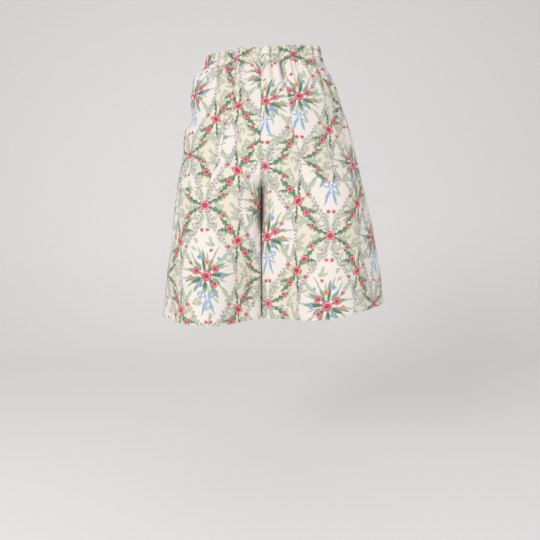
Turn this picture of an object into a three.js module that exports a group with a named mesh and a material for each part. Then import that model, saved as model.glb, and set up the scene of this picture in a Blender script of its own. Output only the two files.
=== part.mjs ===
// Knee-length culottes with a gathered elastic waist and two patch pockets, in millimetres.
// +Z is up, the front faces -Y, and the origin is the middle of the waist opening.
import * as THREE from "three";

// Cloth and making-up sizes
const clothThickness = 1.2;
const casingThickness = 2.4;
const seamGap = 0.3;
const casingHeight = 38;
const hemDrop = 681;
const hemDepth = 32;
const hemExtraThickness = 1.2;
const hemLift = 13;
const hemLiftTop = 468;
const touchReachLeft = 64;
const touchReachRight = 54;
const touchTop = 390;
const touchFull = 480;
const pocketEdgeColumn = 21;
const pocketMouthTop = 60;
const pocketMouthBottom = 214;
const pocketGape = 2.2;

// Gathers: each panel has the same number, and they fade below the casing
const gathersPerPanel = 7;
const columnsPerGather = 4;
const columns = gathersPerPanel * columnsPerGather;
const gatherFadeDrop = 190;
const panelGatherHeight = 3.6;

// Level sections round the figure. drop: below the waist at the side seam. left, right: half widths.
// front, back: half depths. dipFront, dipBack: how far the middle hangs below the side seams.
// turn: how far round the ring a panel reaches, 90 at a centre seam and 180 at an inseam.
// under: how far the inner edge hangs below the side. tilt: how steeply the row rises to the left.
// outer, inner: squareness of the two halves of a leg's ring, where 2 is an ellipse.
const sections = [
  {
    drop: 0, left: 148, right: 141, front: 88, back: 92, dipFront: 30, dipBack: -10,
    turn: 90, under: 0, outer: 2.15, inner: 2.15, tilt: 5,
  },
  {
    drop: 38, left: 156, right: 152, front: 92, back: 98, dipFront: 30, dipBack: -10,
    turn: 90, under: 0, outer: 2.2, inner: 2.2, tilt: 5,
  },
  {
    drop: 55, left: 161, right: 172, front: 97, back: 104, dipFront: 30, dipBack: -9,
    turn: 90, under: 0, outer: 2.2, inner: 2.2, tilt: 4.9,
  },
  {
    drop: 87, left: 177, right: 179, front: 106, back: 116, dipFront: 29, dipBack: -8,
    turn: 90, under: 0, outer: 2.25, inner: 2.25, tilt: 4.7,
  },
  {
    drop: 125, left: 193, right: 182, front: 116, back: 129, dipFront: 28, dipBack: -6,
    turn: 90, under: 0, outer: 2.3, inner: 2.3, tilt: 4.4,
  },
  {
    drop: 165, left: 206, right: 180, front: 126, back: 139, dipFront: 28, dipBack: -4,
    turn: 90, under: 0, outer: 2.35, inner: 2.35, tilt: 4,
  },
  {
    drop: 200, left: 221, right: 199, front: 133, back: 145, dipFront: 28, dipBack: -3,
    turn: 90, under: 0, outer: 2.35, inner: 2.35, tilt: 3.6,
  },
  {
    drop: 240, left: 232, right: 202, front: 141, back: 149, dipFront: 28, dipBack: -1,
    turn: 90, under: 0, outer: 2.35, inner: 2.6, tilt: 3.2,
  },
  {
    drop: 285, left: 243, right: 208, front: 147, back: 151, dipFront: 29, dipBack: 2,
    turn: 90, under: 0, outer: 2.35, inner: 2.9, tilt: 2.8,
  },
  {
    drop: 312, left: 248, right: 211, front: 150, back: 151, dipFront: 29, dipBack: 4,
    turn: 108, under: -4, outer: 2.35, inner: 3.2, tilt: 2.7,
  },
  {
    drop: 348, left: 256, right: 216, front: 152, back: 151, dipFront: 28, dipBack: 5,
    turn: 144, under: -9, outer: 2.35, inner: 3.8, tilt: 2.6,
  },
  {
    drop: 374, left: 263, right: 220, front: 153, back: 151, dipFront: 25, dipBack: 5,
    turn: 180, under: -10, outer: 2.3, inner: 4.4, tilt: 2.7,
  },
  {
    drop: 410, left: 271, right: 224, front: 154, back: 151, dipFront: 21, dipBack: 5,
    turn: 180, under: -8, outer: 2.25, inner: 3.8, tilt: 2.8,
  },
  {
    drop: 468, left: 285, right: 231, front: 156, back: 151, dipFront: 16, dipBack: 4,
    turn: 180, under: -4, outer: 2.1, inner: 2.8, tilt: 3,
  },
  {
    drop: 532, left: 297, right: 241, front: 159, back: 152, dipFront: 12, dipBack: 3,
    turn: 180, under: -2, outer: 1.95, inner: 2.2, tilt: 3.2,
  },
  {
    drop: 596, left: 308, right: 249, front: 162, back: 153, dipFront: 10, dipBack: 3,
    turn: 180, under: -1, outer: 1.8, inner: 1.9, tilt: 3.3,
  },
  {
    drop: 681, left: 319, right: 260, front: 165, back: 155, dipFront: 8, dipBack: 2,
    turn: 180, under: 0, outer: 1.65, inner: 1.7, tilt: 3.4,
  },
];

// Where the grid rows of every panel run, from the casing to the hem
const panelDrops = [
  38, 55, 72, 95, 125, 165, 200, 240, 285, 312, 331, 348, 362, 374, 410, 468, 540, 646, 649, 681,
];
const pocketBottomDrop = 348;
const crotchDrop = 374;

// The inner edge of a pocket, as the share of a front panel's width that it covers. The grid follows it.
// spread: how evenly the columns beyond it take the rest, because a leg's inner wall is nearly flat.
const pocketEdge = [
  { drop: 38, left: 0.77, right: 0.71, spread: 1 },
  { drop: 125, left: 0.76, right: 0.73, spread: 1 },
  { drop: 214, left: 0.75, right: 0.69, spread: 1 },
  { drop: 285, left: 0.71, right: 0.67, spread: 1 },
  { drop: 312, left: 0.66, right: 0.64, spread: 1 },
  { drop: 331, left: 0.63, right: 0.62, spread: 1 },
  { drop: 348, left: 0.57, right: 0.57, spread: 1 },
  { drop: 362, left: 0.515, right: 0.51, spread: 0.85 },
  { drop: 374, left: 0.435, right: 0.425, spread: 0.65 },
  { drop: 410, left: 0.44, right: 0.43, spread: 0.68 },
  { drop: 468, left: 0.5, right: 0.5, spread: 0.8 },
  { drop: 540, left: 0.55, right: 0.55, spread: 0.92 },
  { drop: 681, left: 0.6, right: 0.6, spread: 1 },
];

// The largest folds. at, endAt: share of the panel's width from the side seam, at top and bottom.
// half: half width across the fold. rise: outwards if positive, inwards if negative.
const folds = [
  { panel: "front_left", at: 0.77, endAt: 0.76, top: 30, bottom: 118, half: 9, rise: -6 },
  { panel: "front_left", at: 0.24, endAt: 0.27, top: 95, bottom: 300, half: 14, rise: -7 },
  { panel: "front_left", at: 0.88, endAt: 0.94, top: 230, bottom: 340, half: 17, rise: -4 },
  { panel: "front_left", at: 0.62, endAt: 0.7, top: 400, bottom: 760, half: 28, rise: -6 },
  { panel: "front_left", at: 0.25, endAt: 0.22, top: 380, bottom: 760, half: 34, rise: -6 },
  { panel: "front_right", at: 0.71, endAt: 0.74, top: 30, bottom: 125, half: 9, rise: -6 },
  { panel: "front_right", at: 0.1, endAt: 0.2, top: 225, bottom: 335, half: 13, rise: -7 },
  { panel: "front_right", at: 0.88, endAt: 0.94, top: 230, bottom: 340, half: 17, rise: -4 },
  { panel: "front_right", at: 0.76, endAt: 0.72, top: 390, bottom: 720, half: 22, rise: -7 },
  { panel: "front_right", at: 0.3, endAt: 0.24, top: 400, bottom: 760, half: 32, rise: -5 },
  { panel: "back_left", at: 0.5, endAt: 0.52, top: 60, bottom: 240, half: 16, rise: -5 },
  { panel: "back_left", at: 0.87, endAt: 0.93, top: 240, bottom: 342, half: 18, rise: -4 },
  { panel: "back_left", at: 0.36, endAt: 0.34, top: 360, bottom: 760, half: 32, rise: -7 },
  { panel: "back_left", at: 0.7, endAt: 0.72, top: 420, bottom: 760, half: 26, rise: -5 },
  { panel: "back_right", at: 0.4, endAt: 0.42, top: 60, bottom: 250, half: 16, rise: -5 },
  { panel: "back_right", at: 0.87, endAt: 0.93, top: 240, bottom: 342, half: 18, rise: -4 },
  { panel: "back_right", at: 0.3, endAt: 0.3, top: 380, bottom: 760, half: 30, rise: -6 },
  { panel: "back_right", at: 0.66, endAt: 0.7, top: 400, bottom: 760, half: 26, rise: -6 },
];

const clothColour = "#ece4d2";
const clothRoughness = 0.85;

// A smooth value between the rows of a table, which never swings past its neighbours
function between(table, key, drop) {
  const last = table.length - 1;
  const at = THREE.MathUtils.clamp(drop, table[0].drop, table[last].drop);
  let k = 0;
  while (k < last - 1 && at > table[k + 1].drop) k += 1;
  const slope = (i) => (table[i + 1][key] - table[i][key]) / (table[i + 1].drop - table[i].drop);
  const bend = (i) => {
    if (i === 0 || i === last) return slope(Math.min(i, last - 1));
    const before = slope(i - 1);
    const after = slope(i);
    return before * after <= 0 ? 0 : (2 * before * after) / (before + after);
  };
  const span = table[k + 1].drop - table[k].drop;
  const t = (at - table[k].drop) / span;
  const rise = t * t * (3 - 2 * t);
  const start = t * (1 - t) * (1 - t) * span * bend(k);
  const end = t * t * (t - 1) * span * bend(k + 1);
  return table[k][key] + (table[k + 1][key] - table[k][key]) * rise + start + end;
}

// Rises from 0 to 1 as x goes from a to b
function ease(a, b, x) {
  return THREE.MathUtils.smoothstep(x, a, b);
}

// One row of a panel as a function of its share from the side seam to the inner edge, before any folds
function rowCurve(panel, drop) {
  const part = (key) => between(sections, key, drop);
  const side = part(panel.side > 0 ? "left" : "right");
  const depth = part(panel.face < 0 ? "front" : "back");
  const dip = part(panel.face < 0 ? "dipFront" : "dipBack");
  const turn = THREE.MathUtils.degToRad(Math.min(part("turn"), 180));
  const under = part("under");
  const outer = 2 / part("outer");
  const inner = 2 / part("inner");
  const inseam = drop > crotchDrop ? clothThickness / 2 + seamGap / 2 + 0.004 * (drop - crotchDrop) : seamGap / 2;
  const across = (a) => (Math.cos(a) > 0 ? Math.cos(a) ** outer : -(Math.abs(Math.cos(a)) ** inner));
  const out = (a) => Math.abs(Math.sin(a)) ** (Math.cos(a) > 0 ? outer : inner);
  const halfWidth = (side - inseam) / (1 - (turn < 3.14 ? across(turn) : -1));
  const middle = side - halfWidth;
  const slant = Math.tan(THREE.MathUtils.degToRad(part("tilt")));
  const lift = hemLift * ease(hemLiftTop, hemDrop, drop);
  const reach = panel.side > 0 ? touchReachLeft : touchReachRight;
  const together = ease(touchTop, touchFull, drop);
  const place = (a) => {
    const apart = middle + halfWidth * across(a);
    const x = panel.side * THREE.MathUtils.lerp(apart, closed(apart, inseam, reach), together);
    const y = panel.face * (seamGap / 2 + (depth - seamGap / 2) * out(a));
    const low = dip * out(a) + under * ((1 - Math.cos(a)) / 2) ** 2;
    const outside = Math.max(Math.cos(a), 0);
    return new THREE.Vector3(x, y, -drop + slant * x - low + lift * outside * (2 - outside));
  };
  const steps = 240;
  const spots = Array.from({ length: steps + 1 }, (_, i) => place((turn * i) / steps));
  const lengths = [0];
  for (let i = 1; i <= steps; i += 1) lengths.push(lengths[i - 1] + spots[i].distanceTo(spots[i - 1]));
  const total = lengths[steps];
  const at = (share) => {
    const goal = THREE.MathUtils.clamp(share, 0, 1) * total;
    let i = 1;
    while (i < steps && lengths[i] < goal) i += 1;
    const t = (goal - lengths[i - 1]) / Math.max(lengths[i] - lengths[i - 1], 1e-9);
    return spots[i - 1].clone().lerp(spots[i], Math.min(t, 1));
  };
  return { at, total };
}

// A panel's column as a share of the row. The columns are led along the inner edge of the pocket.
function columnShare(panel, column, drop) {
  const edge = between(pocketEdge, panel.side > 0 ? "left" : "right", drop);
  if (column <= pocketEdgeColumn) return (edge * column) / pocketEdgeColumn;
  if (column === columns) return 1;
  const spread = between(pocketEdge, "spread", drop);
  return edge + ((1 - edge) * spread * (column - pocketEdgeColumn)) / (columns - pocketEdgeColumn);
}

// How far gathers push the cloth out. They start in a valley at each seam and differ a little.
function gatherRise(panel, column, drop) {
  const share = column / columns;
  const uneven = 1 + 0.25 * Math.sin(Math.PI * share) * Math.sin(17 * share + 2 * panel.side + panel.face);
  const wave = -Math.cos(2 * Math.PI * gathersPerPanel * share) * uneven;
  const grown = panelGatherHeight * (1 + 0.25 * ease(38, 60, drop));
  return wave * grown * (1 - ease(45, gatherFadeDrop, drop));
}

// How far the large folds push the cloth out
function foldRise(panel, share, drop, rowLength) {
  let rise = 0;
  for (const fold of folds) {
    if (fold.panel !== panel.name || drop <= fold.top || drop >= fold.bottom) continue;
    const along = (drop - fold.top) / (fold.bottom - fold.top);
    const middle = fold.at + (fold.endAt - fold.at) * along;
    const off = ((share - middle) * rowLength) / fold.half;
    rise += fold.rise * Math.exp(-off * off) * Math.sin(Math.PI * along);
  }
  const awayFromSeams = ease(0, 0.04, share) * ease(0, 0.04, 1 - share);
  return rise * awayFromSeams;
}

// The middle surface of a panel as a grid of points and outward directions
function panelGrid(panel, drops) {
  const curves = drops.map((drop) => rowCurve(panel, drop));
  const plain = curves.map((curve, i) =>
    Array.from({ length: columns + 1 }, (_, j) => curve.at(columnShare(panel, j, drops[i]))),
  );
  const turns = outward(panel, plain, drops);
  const points = plain.map((row, i) =>
    row.map((point, j) => {
      const share = columnShare(panel, j, drops[i]);
      const rise = gatherRise(panel, j, drops[i]) + foldRise(panel, share, drops[i], curves[i].total);
      const lifted = point.clone().addScaledVector(turns[i][j], rise * freeToFold(point, drops[i]));
      return j < columns ? clearOfOtherLeg(panel, lifted) : lifted;
    }),
  );
  return { points, turns: outward(panel, points, drops), topTurns: turns[0] };
}

// The two legs touch low down: cloth nearer the middle plane than half the reach lies against it.
function closed(apart, inseam, reach) {
  if (apart > reach) return apart;
  if (apart < reach / 2) return Math.min(apart, inseam);
  return THREE.MathUtils.mapLinear(apart, reach / 2, reach, inseam, reach);
}

// Where the legs touch, folds can't lift the cloth
function freeToFold(point, drop) {
  const near = 1 - ease(0.5, 7, Math.abs(point.x));
  return 1 - near * ease(touchTop, touchFull, drop);
}

// A point kept far enough from the middle plane for the legs' walls to hang side by side
function clearOfOtherLeg(panel, point) {
  const nearest = clothThickness / 2 + seamGap / 2 + 0.1;
  point.x = panel.side * Math.max(panel.side * point.x, nearest);
  return point;
}

// Outward directions of a grid. Along a seam they stay in the plane of that seam, so the gap is kept.
function outward(panel, points, drops) {
  const lastRow = points.length - 1;
  return points.map((row, i) =>
    row.map((_, j) => {
      const along = row[Math.min(j + 1, columns)].clone().sub(row[Math.max(j - 1, 0)]);
      const down = points[Math.min(i + 1, lastRow)][j].clone().sub(points[Math.max(i - 1, 0)][j]);
      const facing = down.cross(along).multiplyScalar(panel.side * panel.face);
      const onCentreSeam = j === columns && drops[i] < crotchDrop;
      if (i === 0) facing.z = 0;
      if (j === 0) facing.y = 0;
      if (j === columns && drops[i] > crotchDrop) facing.set(-panel.side, 0, 0);
      if (onCentreSeam) facing.copy(seamFacing(panel, points, i));
      if (j === columns && drops[i] === crotchDrop) facing.set(0, 0, -1);
      return facing.normalize();
    }),
  );
}

// The outward direction along a centre seam, square to the seam and in its plane
function seamFacing(panel, points, i) {
  const below = points[i + 1][columns];
  const above = points[Math.max(i - 1, 0)][columns];
  const run = below.clone().sub(above);
  return new THREE.Vector3(0, panel.face * -run.z, i === 0 ? 0 : panel.face * run.y);
}

// A closed wall between an outer and an inner grid, whose first and last columns meet if it is a ring
function wall(outer, inner, ring = false) {
  const rows = outer.length;
  const across = outer[0].length;
  const places = [...outer.flat(), ...inner.flat()].flatMap((p) => [p.x, p.y, p.z]);
  const out = (i, j) => i * across + (j % across);
  const into = (i, j) => rows * across + out(i, j);
  const faces = [];
  const quad = (a, b, c, d) => faces.push(a, b, c, a, c, d);
  const lastColumn = ring ? across : across - 1;
  for (let i = 0; i < rows - 1; i += 1) {
    for (let j = 0; j < lastColumn; j += 1) {
      quad(out(i, j), out(i + 1, j), out(i + 1, j + 1), out(i, j + 1));
      faces.push(into(i, j), into(i + 1, j + 1), into(i + 1, j));
      faces.push(into(i, j), into(i, j + 1), into(i + 1, j + 1));
    }
  }
  for (let j = 0; j < lastColumn; j += 1) {
    quad(out(0, j), out(0, j + 1), into(0, j + 1), into(0, j));
    quad(out(rows - 1, j + 1), out(rows - 1, j), into(rows - 1, j), into(rows - 1, j + 1));
  }
  if (!ring) {
    for (let i = 0; i < rows - 1; i += 1) {
      quad(out(i + 1, 0), out(i, 0), into(i, 0), into(i + 1, 0));
      quad(out(i, across - 1), out(i + 1, across - 1), into(i + 1, across - 1), into(i, across - 1));
    }
  }
  return { places, faces };
}

// A named mesh whose faces all look outwards
function piece(name, { places, faces }) {
  const geometry = new THREE.BufferGeometry();
  geometry.setAttribute("position", new THREE.Float32BufferAttribute(places, 3));
  geometry.setIndex(volume(places, faces) < 0 ? faces.slice().reverse() : faces);
  geometry.computeVertexNormals();
  const material = new THREE.MeshStandardMaterial({
    color: clothColour,
    roughness: clothRoughness,
    metalness: 0,
    side: THREE.DoubleSide,
  });
  const mesh = new THREE.Mesh(geometry, material);
  mesh.name = name;
  return mesh;
}

// Six times the volume inside a closed set of faces
function volume(places, faces) {
  const corner = (i) => new THREE.Vector3(places[3 * i], places[3 * i + 1], places[3 * i + 2]);
  let sum = 0;
  for (let k = 0; k < faces.length; k += 3) {
    sum += corner(faces[k]).dot(corner(faces[k + 1]).cross(corner(faces[k + 2])));
  }
  return sum;
}

// A grid moved along its outward directions
function moved({ points, turns }, distance) {
  return points.map((row, i) =>
    row.map((point, j) => {
      const far = typeof distance === "function" ? distance(i, j) : distance;
      return point.clone().addScaledVector(turns[i][j], far);
    }),
  );
}

// A front or back panel. The turned-up hem makes its lower edge thicker on the inside.
function makePanel(panel) {
  const grid = panelGrid(panel, panelDrops);
  const half = clothThickness / 2;
  const hemTop = hemDrop - hemDepth;
  const inside = (i) => -half - (panelDrops[i] >= hemTop ? hemExtraThickness : 0);
  return piece(panel.name, wall(moved(grid, half), moved(grid, inside)));
}

// A patch pocket: the panel's own points from the side seam to the pocket edge, moved out
function makePocket(panel, name) {
  const drops = panelDrops.filter((drop) => drop <= pocketBottomDrop);
  const whole = panelGrid(panel, panelDrops);
  const part = (grid) => drops.map((_, i) => grid[i].slice(0, pocketEdgeColumn + 1));
  const grid = { points: part(whole.points), turns: part(whole.turns) };
  const seat = clothThickness / 2 + seamGap;
  const gape = (i, j) => {
    const span = pocketMouthBottom - pocketMouthTop;
    const along = THREE.MathUtils.clamp((drops[i] - pocketMouthTop) / span, 0, 1);
    return pocketGape * Math.sin(Math.PI * along) * Math.max(0, 1 - j / 4);
  };
  const under = moved(grid, (i, j) => seat + gape(i, j));
  const top = moved(grid, (i, j) => seat + clothThickness + gape(i, j));
  return piece(name, wall(top, under));
}

// The casing: one ring that starts just above the panels' own top edges, gathered with them
function makeWaistband() {
  const roundTheWaist = [panels.front_left, panels.back_left, panels.back_right, panels.front_right];
  const levels = [
    { drop: 0, gather: 0.95, plump: 0.86 },
    { drop: 5, gather: 0.8, plump: 1 },
    { drop: casingHeight / 2, gather: 0.6, plump: 1 },
    { drop: casingHeight, gather: 1, plump: 1 },
  ];
  const points = levels.map(() => []);
  roundTheWaist.forEach((panel, k) => {
    const grid = panelGrid(panel, panelDrops);
    for (let n = 0; n < columns; n += 1) {
      const column = k % 2 === 1 ? n : columns - n;
      levels.forEach((level, i) => {
        const point = rowCurve(panel, level.drop).at(columnShare(panel, column, casingHeight));
        const push = gatherRise(panel, column, casingHeight) * level.gather;
        point.addScaledVector(grid.topTurns[column], push);
        if (level.drop === casingHeight) point.copy(grid.points[0][column]).setZ(point.z + seamGap);
        points[i].push(point);
      });
    }
  });
  const turns = points.map((row) =>
    row.map((_, j) => {
      const run = row[(j + 1) % row.length].clone().sub(row[(j + row.length - 1) % row.length]);
      return new THREE.Vector3(-run.y, run.x, 0).normalize().negate();
    }),
  );
  if (turns[0][0].dot(points[0][0].clone().setZ(0)) < 0) turns.flat().forEach((turn) => turn.negate());
  const half = (i) => (casingThickness / 2) * levels[i].plump;
  const grid = { points, turns };
  return piece("waistband", wall(moved(grid, half), moved(grid, (i) => -half(i)), true));
}

// side: +1 is the wearer's left. face: -1 is the front.
const panels = {
  front_left: { name: "front_left", side: 1, face: -1 },
  front_right: { name: "front_right", side: -1, face: -1 },
  back_left: { name: "back_left", side: 1, face: 1 },
  back_right: { name: "back_right", side: -1, face: 1 },
};

const culottes = new THREE.Group();
culottes.name = "culottes";
culottes.add(makeWaistband());
for (const panel of Object.values(panels)) culottes.add(makePanel(panel));
culottes.add(makePocket(panels.front_left, "pocket_left"));
culottes.add(makePocket(panels.front_right, "pocket_right"));

export default culottes;
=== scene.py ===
# %% [markdown]
# # Culottes with a gathered elastic waist
# These are knee-length culottes in a printed furnishing cotton. Four big pieces of cloth make the
# two legs, two large patch pockets lie on the fronts, and a casing of the same cloth holds elastic
# round the waist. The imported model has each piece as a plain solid. Here each becomes thin cloth,
# with its gathers and creases, its weave and its print.

import math

import bpy
import numpy as np
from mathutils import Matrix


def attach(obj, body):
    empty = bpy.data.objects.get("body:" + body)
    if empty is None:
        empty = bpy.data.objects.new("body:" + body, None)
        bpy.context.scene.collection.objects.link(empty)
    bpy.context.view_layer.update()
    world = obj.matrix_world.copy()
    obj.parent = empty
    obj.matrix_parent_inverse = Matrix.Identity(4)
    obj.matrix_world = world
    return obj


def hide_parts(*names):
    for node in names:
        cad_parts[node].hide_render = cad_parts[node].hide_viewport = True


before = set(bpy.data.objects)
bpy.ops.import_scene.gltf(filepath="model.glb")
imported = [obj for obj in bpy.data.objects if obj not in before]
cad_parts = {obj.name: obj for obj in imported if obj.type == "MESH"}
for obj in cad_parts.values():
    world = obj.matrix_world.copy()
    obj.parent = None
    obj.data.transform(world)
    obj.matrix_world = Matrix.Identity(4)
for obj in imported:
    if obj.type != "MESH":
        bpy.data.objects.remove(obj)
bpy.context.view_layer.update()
MM = 0.001

# %% [markdown]
# ## The sizes of the cut
# A maker measures across the garment at a row of levels, from the waist down to the hem. Each row
# of the first table is one such level, in millimetres. The widths and depths are taken from the
# middle of the garment. The dips say how far the middle of the row hangs below the side seams, and
# under says the same for its end at the inseam, where less than 0 is higher. Turn is how far round
# a panel reaches: 90 degrees to a centre seam, 180 to an inseam. Outer and inner say how square the
# ring is, and tilt how many degrees the row leans. The second table says what share of a front's
# width its pocket covers.


# %% Sizes
def table(columns, *rows):
    """A table with named columns, as one array for each column."""
    return dict(zip(columns.split(), np.array(rows, float).T))


LEVELS = table(
    "drop left right front back dip_front dip_back turn under outer inner tilt",
    (0, 148, 141, 88, 92, 30, -10, 90, 0, 2.15, 2.15, 5.0),
    (38, 156, 152, 92, 98, 30, -10, 90, 0, 2.2, 2.2, 5.0),
    (55, 161, 172, 97, 104, 30, -9, 90, 0, 2.2, 2.2, 4.9),
    (87, 177, 179, 106, 116, 29, -8, 90, 0, 2.25, 2.25, 4.7),
    (125, 193, 182, 116, 129, 28, -6, 90, 0, 2.3, 2.3, 4.4),
    (165, 206, 180, 126, 139, 28, -4, 90, 0, 2.35, 2.35, 4.0),
    (200, 221, 199, 133, 145, 28, -3, 90, 0, 2.35, 2.35, 3.6),
    (240, 232, 202, 141, 149, 28, -1, 90, 0, 2.35, 2.6, 3.2),
    (285, 243, 208, 147, 151, 29, 2, 90, 0, 2.35, 2.9, 2.8),
    (312, 248, 211, 150, 151, 29, 4, 108, -4, 2.35, 3.2, 2.7),
    (348, 256, 216, 152, 151, 28, 5, 144, -9, 2.35, 3.8, 2.6),
    (374, 263, 220, 153, 151, 25, 5, 180, -10, 2.3, 4.4, 2.7),
    (410, 271, 224, 154, 151, 21, 5, 180, -8, 2.25, 3.8, 2.8),
    (468, 285, 231, 156, 151, 16, 4, 180, -4, 2.1, 2.8, 3.0),
    (532, 297, 241, 159, 152, 12, 3, 180, -2, 1.95, 2.2, 3.2),
    (596, 308, 249, 162, 153, 10, 3, 180, -1, 1.8, 1.9, 3.3),
    (681, 319, 260, 165, 155, 8, 2, 180, 0, 1.65, 1.7, 3.4),
)
POCKET_EDGE = table(
    "drop left right",
    (38, 0.77, 0.71),
    (125, 0.76, 0.73),
    (214, 0.75, 0.69),
    (285, 0.71, 0.67),
    (312, 0.66, 0.64),
    (331, 0.63, 0.62),
    (348, 0.57, 0.57),
    (362, 0.55, 0.55),
    (410, 0.54, 0.54),
    (681, 0.6, 0.6),
)
CASING_HEIGHT = 38
CROTCH_DROP = 374
HEM_DROP = 681
HEM_DEPTH = 32
HEM_LIFT = 13  # the hem is this much higher at the side seams
HEM_LIFT_TOP = 468
SEAM_GAP = 0.3
CLOSE = 0.45  # each leg's cloth keeps this far from the middle plane
TOUCH_LEFT, TOUCH_RIGHT = 64, 54  # the legs touch within half of this from the middle plane
TOUCH_TOP, TOUCH_FULL = 390, 480  # they begin to touch here, and touch fully from here down
GATHERS = 7
GATHER_HEIGHT = 3.6
GATHER_FADE = 190
COLUMNS = 28
POCKET_COLUMNS = 21
POCKET_BOTTOM = 348
CLOTH = 0.7
FINE = 6  # points to each column of the solid's grid

# The side and face of each panel: 1 for the wearer's left or for the back, otherwise -1.
SIDES = {
    "front_left": (1, -1),
    "front_right": (-1, -1),
    "back_left": (1, 1),
    "back_right": (-1, 1),
}
print("levels from waist to hem:", len(LEVELS["drop"]))

# %% [markdown]
# ## Where the cloth lies before it is gathered
# Between two levels the sizes change smoothly. Each level is a rounded ring, a little squarer than an
# ellipse at the hips and a little less square at the hem, where the cloth hangs free. A panel runs
# from its side seam round to the centre seam, and below the crotch on to the inseam between the
# legs. Wide legs hang against each other there, so low down the cloth near the middle lies flat
# against the other leg.


# %% Rings
def ease(start, end, x):
    t = np.clip((np.asarray(x, float) - start) / (end - start), 0, 1)
    return t * t * (3 - 2 * t)


def between(rows, key, drop):
    """A table column read at any drop, with no overshoot between its rows."""
    x, y = rows["drop"], rows[key]
    step = np.diff(x)
    rise = np.diff(y) / step
    slope = np.zeros_like(y)
    slope[0], slope[-1] = rise[0], rise[-1]
    same = rise[:-1] * rise[1:] > 0
    slope[1:-1][same] = (2 * rise[:-1] * rise[1:])[same] / (rise[:-1] + rise[1:])[same]
    drop = np.clip(np.asarray(drop, float), x[0], x[-1])
    i = np.clip(np.searchsorted(x, drop, side="right") - 1, 0, len(x) - 2)
    t = (drop - x[i]) / step[i]
    return (
        y[i] * (1 + 2 * t) * (1 - t) ** 2
        + step[i] * slope[i] * t * (1 - t) ** 2
        + y[i + 1] * t * t * (3 - 2 * t)
        + step[i] * slope[i + 1] * t * t * (t - 1)
    )


def ring_row(side, face, drop, shares):
    """Points along one level of a panel, at shares of its length from the side seam."""

    def part(key):
        return float(between(LEVELS, key, drop))

    width = part("left" if side > 0 else "right")
    depth = part("front" if face < 0 else "back")
    dip = part("dip_front" if face < 0 else "dip_back")
    turn = math.radians(min(part("turn"), 180))
    outer, inner = 2 / part("outer"), 2 / part("inner")
    inseam = CLOSE if drop > CROTCH_DROP else SEAM_GAP / 2
    a = np.linspace(0, turn, 961)
    power = np.where(np.cos(a) > 0, outer, inner)
    across = np.sign(np.cos(a)) * np.abs(np.cos(a)) ** power
    out = np.abs(np.sin(a)) ** power
    far = across[-1] if turn < 3.14 else -1
    half = (width - inseam) / (1 - far)
    x = width - half + half * across
    reach = TOUCH_LEFT if side > 0 else TOUCH_RIGHT
    touching = np.interp(x, [inseam, 0.5 * reach, reach], [inseam, inseam + 0.05, reach])
    x = side * np.where(x < reach, x + (touching - x) * ease(TOUCH_TOP, TOUCH_FULL, drop), x)
    y = face * (SEAM_GAP / 2 + (depth - SEAM_GAP / 2) * out)
    lift = HEM_LIFT * ease(HEM_LIFT_TOP, HEM_DROP, drop) * ease(-0.5, 1, np.cos(a))
    low = dip * out + part("under") * ((1 - np.cos(a)) / 2) ** 2
    z = -drop + math.tan(math.radians(part("tilt"))) * x - low + lift
    spots = np.stack([x, y, z], 1)
    run = np.concatenate([[0], np.cumsum(np.linalg.norm(np.diff(spots, axis=0), axis=1))])
    goal = np.clip(shares, 0, 1) * run[-1]
    return np.stack([np.interp(goal, run, spots[:, k]) for k in range(3)], 1), run[-1]


def column_shares(side, drop, columns):
    """Where columns 0 to 28 lie along a level. The first 21 are kept under the pocket."""
    edge = float(between(POCKET_EDGE, "left" if side > 0 else "right", drop))
    on_pocket = edge * columns / POCKET_COLUMNS
    beyond = edge + (1 - edge) * (columns - POCKET_COLUMNS) / (COLUMNS - POCKET_COLUMNS)
    return np.where(columns <= POCKET_COLUMNS, on_pocket, beyond)


widths = [ring_row(1, -1, drop, np.array([0.0, 1.0]))[1] for drop in (CASING_HEIGHT, 285, HEM_DROP)]
print("front_left is", [round(w) for w in widths], "mm wide at waist, hip and hem")

# %% [markdown]
# ## Folds and creases
# Heavy cotton makes few folds, and each has its own length and depth. A fold here is a soft trough
# running down a panel. Each row says where across the panel it starts and ends, from which drop to
# which, how wide half of it is and how far it rises, where less than 0 goes inwards. The solid
# model has the same ones.

# %% Folds
FOLD_COLUMNS = "at end_at top bottom half rise"
FOLDS = {
    "front_left": table(
        FOLD_COLUMNS,
        (0.77, 0.76, 30, 118, 9, -6),
        (0.24, 0.27, 95, 300, 14, -7),
        (0.88, 0.94, 230, 340, 17, -4),
        (0.62, 0.7, 400, 760, 28, -6),
        (0.25, 0.22, 380, 760, 34, -6),
    ),
    "front_right": table(
        FOLD_COLUMNS,
        (0.71, 0.74, 30, 125, 9, -6),
        (0.1, 0.2, 225, 335, 13, -7),
        (0.88, 0.94, 230, 340, 17, -4),
        (0.76, 0.72, 390, 720, 22, -7),
        (0.3, 0.24, 400, 760, 32, -5),
    ),
    "back_left": table(
        FOLD_COLUMNS,
        (0.5, 0.52, 60, 240, 16, -5),
        (0.87, 0.93, 240, 342, 18, -4),
        (0.36, 0.34, 360, 760, 32, -7),
        (0.7, 0.72, 420, 760, 26, -5),
    ),
    "back_right": table(
        FOLD_COLUMNS,
        (0.4, 0.42, 60, 250, 16, -5),
        (0.87, 0.93, 240, 342, 18, -4),
        (0.3, 0.3, 380, 760, 30, -6),
        (0.66, 0.7, 400, 760, 26, -6),
    ),
}

print("folds placed:", sum(len(folds["at"]) for folds in FOLDS.values()))

# %% [markdown]
# ## Creases
# Creases are smaller and sharper. There are puckers below the casing, drag lines that fan out from
# the crotch, where the cloth is pulled, and dents along the pockets. Each starts deep at one place
# and fades towards another.

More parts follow.
